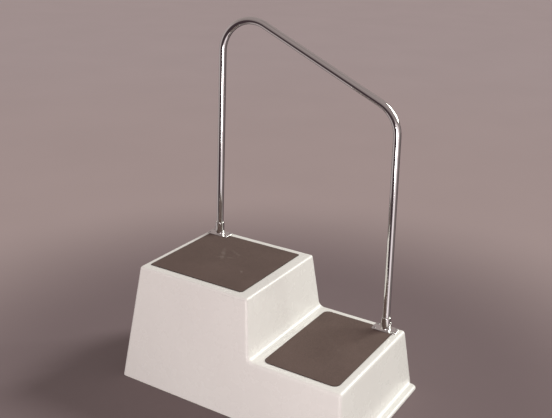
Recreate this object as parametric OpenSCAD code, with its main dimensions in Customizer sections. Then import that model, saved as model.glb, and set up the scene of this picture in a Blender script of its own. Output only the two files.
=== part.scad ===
// Two-step dock steps: a one-piece moulded shell with drafted walls and an
// open underside, a non-slip pad on each tread, and a bent tube handrail on
// the right-hand side that stands in two base fittings bolted to the treads.
// Millimetres. +Z up, +Y the way one climbs, +X to the climber's right.
// The origin is on the ground, at the centre of the footprint.

/* [Shell] */
// Height of the upper tread above the ground
upper_h = 406.4; // [396:0.2:416]
// Height of the lower tread above the ground
lower_h = 206; // [198:1:214]
// Width of the shell at the ground, without draft
foot_w = 528.8; // [520:0.2:540]
// Distance from the origin to the rear wall at the ground
rear_y = 446; // [440:1:452]
// Distance from the origin to the front wall at the ground
front_y = 414.4; // [408:0.2:418]
// Distance from the origin to the riser, measured at the upper tread
riser_y = 33.5; // [30:0.5:38]
// Thickness of the moulded wall
wall = 5; // [4:0.5:6]
// Draft of the two side walls, in degrees
side_draft = 7.81; // [7:0.01:8.5]
// Draft of the front wall, in degrees
front_draft = 7.49; // [7:0.01:8]
// Draft of the riser and of the rear wall, in degrees
riser_draft = 6.97; // [6.5:0.01:7.5]
// Radius of the upper tread's edges
upper_r = 9; // [8:0.5:10]
// Radius of the lower tread's edges
lower_r = 12; // [10:0.5:13]
// Radius of the upright corners at the ground
corner_r = 14; // [12:0.5:16]
// Radius of the hollow where the riser meets the lower tread
hollow_r = 20; // [16:1:24]

/* [Front flange] */
// Reach of the flange in front of the front wall's foot
flange_reach = 31.6; // [30:0.2:34]
// Height of the flange above the ground
flange_h = 12; // [11:0.5:14]
// Width of the flange across the steps
flange_w = 480; // [460:2:490]
// Radius of the flange's outer corners, seen from above
flange_corner_r = 18; // [12:1:20]
// Radius of the flange's rounded outer edge
flange_edge_r = 9; // [7:0.5:10]
// Radius of the hollow between the front wall and the flange
flange_hollow_r = 20; // [16:1:24]

/* [Tread pads] */
// Thickness of the non-slip pads
pad_t = 2.5; // [1.5:0.5:3]
// Width of the upper pad
upper_pad_w = 358.4; // [340:0.2:360]
// Front edge of the upper pad
upper_pad_y0 = 5.5; // [0:0.5:12]
// Rear edge of the upper pad
upper_pad_y1 = 375.3; // [366:0.1:378]
// Width of the lower pad
lower_pad_w = 414.8; // [400:0.2:420]
// Front edge of the lower pad
lower_pad_y0 = -359.8; // [-364:0.1:-350]
// Rear edge of the lower pad
lower_pad_y1 = -94.3; // [-104:0.1:-90]
// Corner radius of the lower pad
lower_pad_r = 22; // [16:1:26]
// Gap between a pad and the base plate let into its corner
pad_gap = 0.8; // [0.5:0.1:2]

/* [Handrail] */
// Outer diameter of the tube
tube_d = 25.4; // [25.2:0.1:25.6]
// Wall thickness of the tube
tube_wall = 1.65; // [1.2:0.05:2.5]
// Radius of both bends, at the centreline
bend_r = 114.3; // [100:0.1:130]
// Angle of the upper bend, in degrees
turn_a = 114.3347; // [114:0.0001:115]
// Angle of the lower bend, in degrees
turn_b = 63.5973; // [63.2:0.0001:64.2]
// Height at which the lower post's and the sloping part's centrelines cross
rail_low_z = 949.2; // [930:0.2:970]
// Upper post's place across the steps
upper_post_x = 179.5; // [178:0.5:180]
// Upper post's place along the steps
upper_post_y = 346; // [342:0.5:347]
// Lower post's place across the steps
lower_post_x = 204.5; // [202:0.5:205]
// Lower post's place along the steps
lower_post_y = -326.5; // [-330:0.5:-322]

/* [Rail bases] */
// Width of a base plate, across the steps
plate_w = 48; // [46:0.5:48]
// Length of a base plate, along the steps
plate_l = 88; // [86:0.5:90]
// Thickness of a base plate
plate_t = 4; // [3.5:0.5:5]
// Corner radius of a base plate
plate_r = 9; // [6:0.5:10]
// Outer radius of the socket
socket_r = 16; // [15.6:0.1:17]
// Height of the socket above the tread
socket_h = 48; // [44:1:52]
// Radius of the socket's bore
bore_r = 13.6; // [13.5:0.05:13.8]
// Radius of the hollow where the socket meets the plate
flare_r = 5; // [3:0.5:6]
// Height of the set screw above the tread
set_z = 25; // [22:1:30]
// Radius of the boss round the set screw
boss_r = 6.5; // [6:0.1:7]
// Distance of the boss's face from the socket's axis
boss_reach = 19.5; // [18.5:0.1:21]

/* [Fasteners] */
// Half the hole spacing across the steps
hole_dx = 14.5; // [14:0.1:15]
// Half the hole spacing along the steps
hole_dy = 34; // [33:0.1:35]
// Shank diameter of the base screws
screw_d = 5.8; // [5:0.1:6]
// Head diameter of the base screws
head_d = 10.6; // [10:0.1:11]
// Diameter of the holes in the plates and treads
hole_d = 6.4; // [6.2:0.1:6.8]
// Outer diameter of the washers
washer_d = 12.5; // [12:0.1:12.5]
// Thickness of the washers
washer_t = 1.2; // [1:0.1:1.6]
// Width across flats of the nuts
nut_af = 10; // [9:0.5:10]
// Height of the nuts
nut_h = 5; // [4:0.5:6]

/* [Hidden] */

$fn = 64;
arc_n = 7;      // steps in each rounded edge of the shell
ring_n = 6;     // steps across each rounded side edge
below = 20;     // how far the shell's form runs below the ground before it is cut
colour_shell = [0.90, 0.89, 0.86];
colour_pad = [0.30, 0.25, 0.23];
colour_steel = [0.75, 0.75, 0.77];

// ---------- walls of the shell, at a depth o below the outer surface ----------
function side_x(z, o) = foot_w / 2 - o / cos(side_draft) - z * tan(side_draft);
function back_y(z, o) = rear_y - o / cos(riser_draft) - z * tan(riser_draft);
function rise_y(z, o) = -riser_y - (upper_h - z) * tan(riser_draft) + o / cos(riser_draft);
function fore_y(z, o) = -front_y + z * tan(front_draft) + o / cos(front_draft);

// ---------- rounded corner between two straight lines of the profile ----------
function unit(v) = v / norm(v);
function corner_angle(a, p, b) = acos(unit(a - p) * unit(b - p));
function corner_centre(a, p, b, r) =
    p + unit(unit(a - p) + unit(b - p)) * r / sin(corner_angle(a, p, b) / 2);
function corner_tangent(a, p, r, ang) = p + unit(a - p) * r / tan(ang / 2);
// points of one rounded corner as [y, z, normal y, normal z, side radius];
// convex is 1 on an outer corner and -1 in a hollow
function corner_points(a, p, b, r, convex, side_r) =
    let (ang = corner_angle(a, p, b), c = corner_centre(a, p, b, r),
         t0 = corner_tangent(a, p, r, ang) - c, t1 = corner_tangent(b, p, r, ang) - c,
         sweep = 180 - ang)
    [for (i = [0:arc_n]) let (k = i / arc_n,
         d = (sin((1 - k) * sweep) * t0 + sin(k * sweep) * t1) / sin(sweep) / r)
        [c[0] + d[0] * r, c[1] + d[1] * r, convex * d[0], convex * d[1], side_r]];

// the side view of the shell, from the rear wall's foot over both treads
function profile(o) =
    let (zu = upper_h - o, zl = lower_h - o,
         p0 = [back_y(-below, o), -below], p1 = [back_y(zu, o), zu],
         p2 = [rise_y(zu, o), zu], p3 = [rise_y(zl, o), zl],
         p4 = [fore_y(zl, o), zl], p5 = [fore_y(-below, o), -below],
         nb = [cos(riser_draft), sin(riser_draft)], nf = [-cos(front_draft), sin(front_draft)])
    concat(
        [[p0[0], p0[1], nb[0], nb[1], corner_r - o]],
        corner_points(p0, p1, p2, upper_r - o, 1, upper_r - o),
        corner_points(p1, p2, p3, upper_r - o, 1, upper_r - o),
        corner_points(p2, p3, p4, hollow_r + o, -1, lower_r - o),
        corner_points(p3, p4, p5, lower_r - o, 1, lower_r - o),
        [[p5[0], p5[1], nf[0], nf[1], corner_r - o]]);

// one point of the rounded side edge: k runs from the profile to the side wall
function ring_point(q, k, o, s) =
    let (r = q[4], c = [q[0] - r * q[2], q[1] - r * q[3]],
         xc = side_x(c[1], o) - r / cos(side_draft),
         n0 = [0, q[2], q[3]], n1 = [cos(side_draft), 0, sin(side_draft)],
         w = acos(n0 * n1),
         d = (sin((1 - k) * w) * n0 + sin(k * w) * n1) / sin(w))
    [s * (xc + r * d[0]), c[0] + r * d[1], q[1] < 0 ? -below : c[1] + r * d[2]];

// the closed form bounded by the surface at depth o
module shell_form(o) {
    pr = profile(o);
    n = len(pr);
    m = ring_n + 1;
    pts = concat(
        [for (i = [0:n - 1], k = [0:ring_n]) ring_point(pr[i], k / ring_n, o, 1)],
        [for (i = [0:n - 1], k = [0:ring_n]) ring_point(pr[i], k / ring_n, o, -1)]);
    h = n * m;
    faces = concat(
        // treads, riser, front and rear
        [for (i = [0:n - 2]) [h + i * m, i * m, (i + 1) * m, h + (i + 1) * m]],
        // rounded side edges
        [for (i = [0:n - 2], k = [0:ring_n - 1])
            [i * m + k, i * m + k + 1, (i + 1) * m + k + 1, (i + 1) * m + k]],
        [for (i = [0:n - 2], k = [0:ring_n - 1])
            [h + i * m + k + 1, h + i * m + k, h + (i + 1) * m + k, h + (i + 1) * m + k + 1]],
        // side walls
        [concat([ring_n], [for (i = [n - 1:-1:1]) i * m + ring_n])],
        [[for (i = [0:n - 1]) h + i * m + ring_n]],
        // underside
        [concat([for (k = [ring_n:-1:0]) k], [for (k = [0:ring_n]) h + k],
                [for (k = [ring_n:-1:0]) h + (n - 1) * m + k],
                [for (k = [0:ring_n]) (n - 1) * m + k])]);
    polyhedron(points = pts, faces = faces, convexity = 6);
}

// side view of the flange and of the hollow above it, as [y, z] points
function flange_profile(o) =
    let (h = flange_h - o, tip = -front_y - flange_reach + o, er = flange_edge_r - o,
         hr = flange_hollow_r + o, wy = fore_y(h, o),
         // centre of the hollow: above the flange, in front of the wall
         cz = h + hr, cy = fore_y(cz, o) - hr / cos(front_draft),
         a0 = -90, a1 = -front_draft)
    concat([[fore_y(-below, o) + 12, -below], [tip, -below]],
           [for (i = [0:arc_n]) let (a = 180 - 90 * i / arc_n) [tip + er + er * cos(a), h - er + er * sin(a)]],
           [for (i = [0:arc_n]) let (a = a0 + (a1 - a0) * i / arc_n) [cy + hr * cos(a), cz + hr * sin(a)]],
           [[fore_y(cz, o) + 12, cz]]);

// rounded outline, seen from above
module flange_outline(o) {
    hw = flange_w / 2 - o;
    tip = front_y + flange_reach - o;
    r = flange_corner_r - o;
    translate([-hw, -tip + r]) square([2 * hw, 120]);
    translate([-hw + r, -tip]) square([2 * (hw - r), 120]);
    for (s = [-1, 1]) translate([s * (hw - r), -tip + r]) circle(r = r);
}

module flange_form(o) {
    intersection() {
        rotate([90, 0, 90]) translate([0, 0, -flange_w / 2 - 5])
            linear_extrude(height = flange_w + 10) polygon(flange_profile(o));
        translate([0, 0, -below - 5]) linear_extrude(height = 80) flange_outline(o);
    }
}

// centres of the four fastener holes round a post
function hole_spots(x, y) =
    [for (sx = [-1, 1], sy = [-1, 1]) [x + sx * hole_dx, y + sy * hole_dy]];
upper_spots = hole_spots(upper_post_x, upper_post_y);
lower_spots = hole_spots(lower_post_x, lower_post_y);

// ---------- sub-parts ----------
// moulded shell with both treads, riser, walls and front flange
module step_shell() color(colour_shell)
    difference() {
        intersection() {
            union() { shell_form(0); flange_form(0); }
            translate([-400, -600, 0]) cube([800, 1200, 600]);
        }
        union() { shell_form(wall); flange_form(wall); }
        for (p = upper_spots) translate([p[0], p[1], upper_h - wall - 5])
            cylinder(h = wall + 10, d = hole_d);
        for (p = lower_spots) translate([p[0], p[1], lower_h - wall - 5])
            cylinder(h = wall + 10, d = hole_d);
    }

// rectangle with a radius for each corner: near-front, far-front, far-rear, near-rear
module rounded_area(x0, y0, x1, y1, r) {
    difference() {
        translate([x0, y0]) square([x1 - x0, y1 - y0]);
        translate([x0 - 1, y0 - 1]) square([r[0] + 1, r[0] + 1]);
        translate([x1 - r[1], y0 - 1]) square([r[1] + 1, r[1] + 1]);
        translate([x1 - r[2], y1 - r[2]]) square([r[2] + 1, r[2] + 1]);
        translate([x0 - 1, y1 - r[3]]) square([r[3] + 1, r[3] + 1]);
    }
    translate([x0 + r[0], y0 + r[0]]) circle(r = r[0]);
    translate([x1 - r[1], y0 + r[1]]) circle(r = r[1]);
    translate([x1 - r[2], y1 - r[2]]) circle(r = r[2]);
    translate([x0 + r[3], y1 - r[3]]) circle(r = r[3]);
}

module plate_area(x, y, grow) {
    rounded_area(x - plate_w / 2 - grow, y - plate_l / 2 - grow,
                 x + plate_w / 2 + grow, y + plate_l / 2 + grow,
                 [for (i = [0:3]) plate_r + grow]);
}

// pad of the upper tread, cut away round the base plate at its rear corner
module upper_tread_pad() color(colour_pad)
    translate([0, 0, upper_h]) linear_extrude(height = pad_t) difference() {
        rounded_area(-upper_pad_w / 2, upper_pad_y0, upper_pad_w / 2, upper_pad_y1,
                     [11, 5, 6, 6]);
        plate_area(upper_post_x, upper_post_y, pad_gap);
        // nothing of the pad is left outside the plate
        translate([upper_post_x, upper_post_y - plate_l / 2 + plate_r])
            square([60, plate_l]);
        translate([upper_post_x - plate_w / 2 + plate_r, upper_post_y])
            square([80, 60]);
    }

// pad of the lower tread, cut away round the base plate at its front corner
module lower_tread_pad() color(colour_pad)
    translate([0, 0, lower_h]) linear_extrude(height = pad_t) difference() {
        rounded_area(-lower_pad_w / 2, lower_pad_y0, lower_pad_w / 2, lower_pad_y1,
                     [for (i = [0:3]) lower_pad_r]);
        plate_area(lower_post_x, lower_post_y, pad_gap);
        translate([lower_post_x, lower_post_y - plate_l])
            square([60, plate_l * 1.5 - plate_r]);
        translate([lower_post_x - plate_w / 2 + plate_r, lower_post_y - plate_l])
            square([80, plate_l]);
    }

// ---------- handrail, in its own upright plane: s along it, z up ----------
rail_run = norm([lower_post_x - upper_post_x, lower_post_y - upper_post_y]);
rail_turn = atan2(lower_post_y - upper_post_y, lower_post_x - upper_post_x);
grip_z = (socket_h + plate_t) / 2;     // height in the socket where the tube is centred
post_lean = 90 - (turn_a + turn_b) / 2; // of each post towards the other
slope = (turn_a - turn_b) / 2;          // of the part between the bends
lean_t = tan(post_lean);
// where the centrelines cross, as distance from the upper post and height
low_s = rail_run - lean_t * (rail_low_z - lower_h - grip_z);
top_z = (rail_low_z + tan(slope) * (low_s + lean_t * (upper_h + grip_z)))
        / (1 + tan(slope) * lean_t);
top_s = lean_t * (top_z - upper_h - grip_z);
tan_a = bend_r * tan(turn_a / 2);
tan_b = bend_r * tan(turn_b / 2);
// lengths of the straight parts, down to the treads' own height
function hundredth(v) = round(v * 100) / 100;
slope_l = hundredth((low_s - top_s) / cos(slope) - tan_a - tan_b);
post_b = hundredth((rail_low_z - lower_h) / cos(post_lean) - tan_b);
post_a = hundredth((top_z - upper_h) / cos(post_lean) - tan_a);
foot_b = [low_s + lean_t * (rail_low_z - lower_h), lower_h];

// straight length of tube from the origin along +Z
module straight_tube(l)
    difference() {
        cylinder(h = l, d = tube_d);
        translate([0, 0, -1]) cylinder(h = l + 2, r = tube_d / 2 - tube_wall);
    }

// bent length of tube round the origin, from the +X axis through an angle
module bent_tube(turn)
    intersection() {
        rotate_extrude() translate([bend_r, 0]) difference() {
            circle(d = tube_d);
            circle(r = tube_d / 2 - tube_wall);
        }
        translate([-200, 0, -30]) cube([400, 200, 60]);
        rotate([0, 0, turn]) translate([-200, -200, -30]) cube([400, 200, 60]);
    }

// bent stainless tube, open at both feet, standing on the plates; it is laid
// from the lower foot over both bends to the upper foot
module handrail() color(colour_steel)
    difference() {
        translate([upper_post_x, upper_post_y, 0]) rotate([0, 0, rail_turn])
            translate([foot_b[0], 0, foot_b[1]]) rotate([90, 0, 0]) rotate([0, 0, post_lean]) {
                translate([0, -5, 0]) rotate([-90, 0, 0]) straight_tube(post_b + 5);
                translate([-bend_r, post_b, 0]) {
                    bent_tube(turn_b);
                    rotate([0, 0, turn_b]) {
                        translate([bend_r, 0, 0]) rotate([-90, 0, 0]) straight_tube(slope_l);
                        translate([0, slope_l, 0]) {
                            bent_tube(turn_a);
                            rotate([0, 0, turn_a]) translate([bend_r, 0, 0])
                                rotate([-90, 0, 0]) straight_tube(post_a + 5);
                        }
                    }
                }
            }
        // both feet are cut level with the top of the plates
        translate([upper_post_x - 60, upper_post_y - 60, upper_h + plate_t - 60])
            cube([120, 120, 60]);
        translate([lower_post_x - 60, lower_post_y - 60, lower_h + plate_t - 60])
            cube([120, 120, 60]);
    }

// ---------- base fitting; its set screw faces -Y ----------
module base_fitting() {
    difference() {
        union() {
            linear_extrude(height = plate_t) plate_area(0, 0, 0);
            // socket, with a hollow flare at its foot and a rounded mouth
            rotate_extrude() difference() {
                union() {
                    square([socket_r, socket_h - 2]);
                    square([socket_r - 2, socket_h]);
                    translate([socket_r - 2, socket_h - 2]) circle(r = 2);
                    translate([0, 0]) square([socket_r + flare_r, plate_t + flare_r]);
                }
                translate([socket_r + flare_r, plate_t + flare_r]) circle(r = flare_r);
            }
            translate([0, 0, set_z]) rotate([90, 0, 0]) cylinder(h = boss_reach, r = boss_r);
        }
        translate([0, 0, plate_t]) cylinder(h = socket_h, r = bore_r);
        translate([0, 0, set_z]) rotate([90, 0, 0]) cylinder(h = boss_reach + 5, r = 3);
        for (p = hole_spots(0, 0)) translate([p[0], p[1], 0]) {
            translate([0, 0, -1]) cylinder(h = plate_t + 2, d = hole_d);
            translate([0, 0, plate_t - (head_d - hole_d) / 2])
                cylinder(h = (head_d - hole_d) / 2, d1 = hole_d, d2 = head_d);
        }
    }
}

module upper_rail_base() color(colour_steel)
    translate([upper_post_x, upper_post_y, upper_h]) rotate([0, 0, 180]) base_fitting();
module lower_rail_base() color(colour_steel)
    translate([lower_post_x, lower_post_y, lower_h]) base_fitting();

// ---------- fasteners ----------
// oval-head machine screw, seated in a plate whose underside is at z = 0
module base_screw() {
    cone_h = (head_d - hole_d) / 2;
    gap = 0.05;
    difference() {
        union() {
            translate([0, 0, -(wall + washer_t + nut_h + 2.5)])
                cylinder(h = wall + washer_t + nut_h + 2.5 + plate_t - 0.5, d = screw_d);
            translate([0, 0, plate_t - cone_h + gap])
                cylinder(h = cone_h - gap, d1 = hole_d - 0.3, d2 = head_d - 0.3 - 2 * gap);
            translate([0, 0, plate_t]) intersection() {
                cylinder(h = 3, d = head_d - 0.3 - 2 * gap);
                translate([0, 0, -9.6]) sphere(r = 10.9, $fn = 64);
            }
        }
        for (a = [0, 90]) rotate([0, 0, a])
            translate([-2.6, -0.55, plate_t - 0.9]) cube([5.2, 1.1, 4]);
    }
}
module washer() difference() {
    cylinder(h = washer_t, d = washer_d);
    translate([0, 0, -1]) cylinder(h = washer_t + 2, d = hole_d);
}
module nut() difference() {
    intersection() {
        cylinder(h = nut_h, d = nut_af / cos(30), $fn = 6);
        translate([0, 0, -0.01]) cylinder(h = nut_h + 0.02, d1 = nut_af + 3.4, d2 = nut_af + 0.5);
    }
    translate([0, 0, -1]) cylinder(h = nut_h + 2, d = screw_d + 0.1);
}

module upper_base_screws() color(colour_steel)
    for (p = upper_spots) translate([p[0], p[1], upper_h]) base_screw();
module lower_base_screws() color(colour_steel)
    for (p = lower_spots) translate([p[0], p[1], lower_h]) base_screw();
module upper_base_washers() color(colour_steel)
    for (p = upper_spots) translate([p[0], p[1], upper_h - wall - washer_t]) washer();
module lower_base_washers() color(colour_steel)
    for (p = lower_spots) translate([p[0], p[1], lower_h - wall - washer_t]) washer();
module upper_base_nuts() color(colour_steel)
    for (p = upper_spots) translate([p[0], p[1], upper_h - wall - washer_t])
        mirror([0, 0, 1]) nut();
module lower_base_nuts() color(colour_steel)
    for (p = lower_spots) translate([p[0], p[1], lower_h - wall - washer_t])
        mirror([0, 0, 1]) nut();

// set screw with a hexagon socket; its flat tip bears on the tube, facing -Y
module set_screw() {
    tip = tube_d / 2 + 0.1;
    translate([0, 0, set_z]) rotate([90, 0, 0]) difference() {
        translate([0, 0, tip]) cylinder(h = boss_reach - 0.8 - tip, r = 2.9);
        translate([0, 0, boss_reach - 3.3]) cylinder(h = 5, d = 3.4, $fn = 6);
    }
}
module upper_set_screw() color(colour_steel)
    translate([upper_post_x, upper_post_y, upper_h]) rotate([0, 0, 180]) set_screw();
module lower_set_screw() color(colour_steel)
    translate([lower_post_x, lower_post_y, lower_h]) set_screw();

step_shell();
upper_tread_pad();
lower_tread_pad();
handrail();
upper_rail_base();
lower_rail_base();
upper_base_screws();
lower_base_screws();
upper_base_washers();
lower_base_washers();
upper_base_nuts();
lower_base_nuts();
upper_set_screw();
lower_set_screw();
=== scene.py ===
# Dock steps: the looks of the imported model. Lengths in the geometry code are
# millimetres, turned into metres when a mesh is made; the frame is the CAD's.
import math

import bmesh
import bpy
import numpy as np
from mathutils import Matrix, Vector, noise


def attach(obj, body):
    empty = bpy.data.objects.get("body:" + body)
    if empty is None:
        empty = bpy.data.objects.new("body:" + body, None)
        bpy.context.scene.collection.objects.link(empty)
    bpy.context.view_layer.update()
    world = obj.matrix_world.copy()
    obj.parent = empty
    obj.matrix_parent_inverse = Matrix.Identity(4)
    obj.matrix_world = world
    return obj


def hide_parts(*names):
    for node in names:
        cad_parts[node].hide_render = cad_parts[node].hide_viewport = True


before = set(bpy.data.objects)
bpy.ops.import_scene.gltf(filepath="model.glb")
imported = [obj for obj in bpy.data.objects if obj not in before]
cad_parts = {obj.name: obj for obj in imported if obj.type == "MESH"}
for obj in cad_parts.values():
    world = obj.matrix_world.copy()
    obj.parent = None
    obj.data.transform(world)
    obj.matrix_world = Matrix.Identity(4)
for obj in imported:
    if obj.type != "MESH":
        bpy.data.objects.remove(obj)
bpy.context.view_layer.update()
scene = bpy.context.scene
MM = 0.001

# ---------------------------------------------------------------- camera
# viewing angle of the photograph: azimuth, elevation and roll of the view
VIEW_AZ, VIEW_EL, VIEW_ROLL = (math.radians(a) for a in (-58.5826, 20.5173, 1.4921))


def make_camera():
    back = Vector((math.sin(VIEW_AZ) * math.cos(VIEW_EL),
                   -math.cos(VIEW_AZ) * math.cos(VIEW_EL), math.sin(VIEW_EL)))
    right = Vector((math.cos(VIEW_AZ), math.sin(VIEW_AZ), 0.0))
    up = back.cross(right)
    place = back * 2.8351 + right * 0.0075 + up * 0.5925 + Vector((0, 0.0055, 0))
    c, s = math.cos(VIEW_ROLL), math.sin(VIEW_ROLL)
    r2, u2 = right * c + up * s, up * c - right * s
    data = bpy.data.cameras.new("view_camera")
    data.sensor_fit = "HORIZONTAL"
    data.sensor_width = 36.0
    data.lens = 812.94 * 36.0 / 552.0
    data.clip_start, data.clip_end = 0.05, 200.0
    cam = bpy.data.objects.new("view_camera", data)
    scene.collection.objects.link(cam)
    m = Matrix((r2, u2, back)).transposed().to_4x4()
    m.translation = place
    cam.matrix_world = m
    scene.camera = cam
    return cam


make_camera()


# ---------------------------------------------------------------- helpers
def mesh_object(name, verts, faces, smooth=True):
    me = bpy.data.meshes.new(name)
    me.from_pydata([tuple(float(c) * MM for c in v) for v in verts], [],
                   [tuple(int(i) for i in f) for f in faces])
    me.update()
    ob = bpy.data.objects.new(name, me)
    scene.collection.objects.link(ob)
    if smooth:
        me.polygons.foreach_set("use_smooth", [True] * len(me.polygons))
    return ob


def bake_modifiers(ob):
    """Replaces the object's mesh with what its modifiers make of it."""
    bpy.context.view_layer.update()
    dg = bpy.context.evaluated_depsgraph_get()
    new = bpy.data.meshes.new_from_object(ob.evaluated_get(dg), depsgraph=dg)
    old = ob.data
    ob.modifiers.clear()
    ob.data = new
    new.name = ob.name
    if old.users == 0:
        bpy.data.meshes.remove(old)
    return ob


def weighted(ob, angle=None):
    m = ob.modifiers.new("weighted", "WEIGHTED_NORMAL")
    m.mode = "FACE_AREA"
    m.weight = 50
    m.keep_sharp = True
    return m


def cut(ob, tools):
    """Takes the closed tools away from ob."""
    joined = join(tools, "cutter")
    m = ob.modifiers.new("cut", "BOOLEAN")
    m.operation = "DIFFERENCE"
    try:
        m.solver = "MANIFOLD"
    except TypeError:
        m.solver = "EXACT"
    m.object = joined
    bake_modifiers(ob)
    bpy.data.objects.remove(joined)
    return ob


def no_slivers(ob):
    """Takes out the slivers that cutting left along the new edges."""
    bm = bmesh.new()
    bm.from_mesh(ob.data)
    bmesh.ops.remove_doubles(bm, verts=bm.verts[:], dist=2e-5)
    bmesh.ops.dissolve_degenerate(bm, edges=bm.edges[:], dist=1e-6)
    bmesh.ops.triangulate(bm, faces=[f for f in bm.faces if len(f.verts) > 4])
    bm.to_mesh(ob.data)
    bm.free()
    return ob


def join(obs, name):
    """One object with the meshes of all of them."""
    bm = bmesh.new()
    for o in obs:
        me = o.data.copy()
        me.transform(o.matrix_world)
        bm.from_mesh(me)
        bpy.data.meshes.remove(me)
        bpy.data.objects.remove(o)
    me = bpy.data.meshes.new(name)
    bm.to_mesh(me)
    bm.free()
    ob = bpy.data.objects.new(name, me)
    scene.collection.objects.link(ob)
    return ob


def rod(name, p0, p1, radii, n=48):
    """A closed turned solid from p0 to p1 (mm): radii is a list of (distance along, radius)."""
    p0, p1 = Vector(p0), Vector(p1)
    axis = (p1 - p0).normalized()
    side = axis.orthogonal().normalized()
    other = axis.cross(side)
    verts, faces = [], []
    for t, r in radii:
        for k in range(n):
            a = 2 * math.pi * k / n
            verts.append(p0 + axis * t + (side * math.cos(a) + other * math.sin(a)) * r)
    for i in range(len(radii) - 1):
        for k in range(n):
            k2 = (k + 1) % n
            faces.append((i * n + k, i * n + k2, (i + 1) * n + k2, (i + 1) * n + k))
    faces.append(tuple(range(n - 1, -1, -1)))
    faces.append(tuple((len(radii) - 1) * n + k for k in range(n)))
    return mesh_object(name, verts, faces)


def arc(c, r, a0, a1, n):
    """n + 1 points of an arc in a plane, angles in degrees."""
    return [(c[0] + r * math.cos(math.radians(a0 + (a1 - a0) * i / n)),
             c[1] + r * math.sin(math.radians(a0 + (a1 - a0) * i / n))) for i in range(n + 1)]


# ---------------------------------------------------------------- shell
UP_H, LO_H = 406.4, 206.0
HALF, REAR, FRONT, RISER = 264.4, 446.0, 414.4, 33.5
TS, TF, TR = (math.radians(a) for a in (7.81, 7.49, 6.97))
UP_R, LO_R, CORNER_R, HOLLOW_R = 9.0, 12.0, 14.0, 20.0
WALL = 5.0
FL_REACH, FL_H, FL_EDGE, FL_HOLLOW = 31.6, 12.0, 9.0, 20.0
FL_START, FL_RUN = 222.0, 26.0
RIM = 1.2


def side_x(z, o):
    return HALF - o / math.cos(TS) - z * math.tan(TS)


def back_y(z, o):
    return REAR - o / math.cos(TR) - z * math.tan(TR)


def rise_y(z, o):
    return -RISER - (UP_H - z) * math.tan(TR) + o / math.cos(TR)


def fore_y(z, o):
    return -FRONT + z * math.tan(TF) + o / math.cos(TF)


def corner_rows(a, p, b, r, sign, n):
    """Points and outward normals of the rounded corner at p between the lines to a and b."""
    a, p, b = (np.array(v, float) for v in (a, p, b))
    ua, ub = (a - p) / np.linalg.norm(a - p), (b - p) / np.linalg.norm(b - p)
    ang = math.acos(float(ua @ ub))
    c = p + (ua + ub) / np.linalg.norm(ua + ub) * r / math.sin(ang / 2)
    t0 = (p + ua * r / math.tan(ang / 2) - c) / r
    t1 = (p + ub * r / math.tan(ang / 2) - c) / r
    w = math.pi - ang
    out = []
    for i in range(n + 1):
        k = i / n
        d = (math.sin((1 - k) * w) * t0 + math.sin(k * w) * t1) / math.sin(w)
        out.append((c[0] + d[0] * r, c[1] + d[1] * r, sign * d[0], sign * d[1]))
    return out


def between(p, q, n):
    """n evenly spaced rows strictly between two rows."""
    return [tuple(p[j] + (q[j] - p[j]) * (i + 1) / (n + 1) for j in range(4)) for i in range(n)]


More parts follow.
